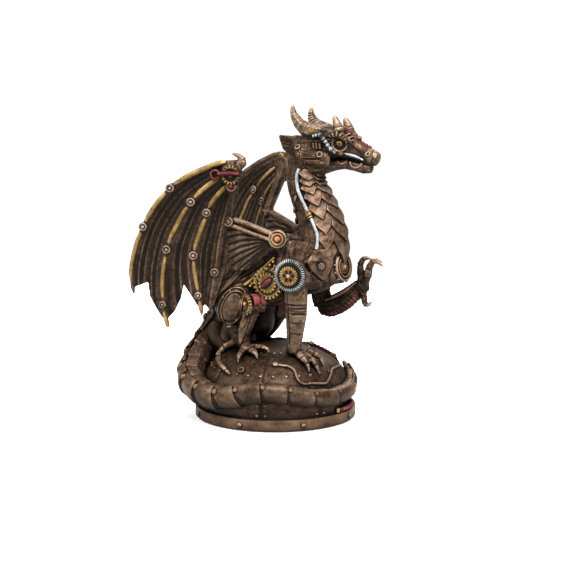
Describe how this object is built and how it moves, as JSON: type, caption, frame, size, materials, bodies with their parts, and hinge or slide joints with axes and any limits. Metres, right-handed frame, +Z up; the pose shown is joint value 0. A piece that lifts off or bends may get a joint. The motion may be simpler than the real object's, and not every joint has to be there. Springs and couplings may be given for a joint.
{
  "type": "dragon statuette",
  "caption": "Cast dragon statuette with clockwork armour, folded wings and a raised forefoot, on a round domed plinth.",
  "frame": {"origin": "centre of the plinth's underside", "axes": "+Z up, +X the way the dragon faces, +Y its left side"},
  "size_m": [0.1675, 0.1193, 0.217],
  "materials": {
    "plinth": "bronze patina over cast resin, satin",
    "dragon": "bronze patina with rubbed highlights over cast resin, satin",
    "wing": "bronze patina with rubbed highlights over cast resin, satin"
  },
  "bodies": {
    "root": {"plinth": "plinth", "dragon": "dragon", "right_wing": "wing", "left_wing": "wing"}
  },
  "joints": []
}
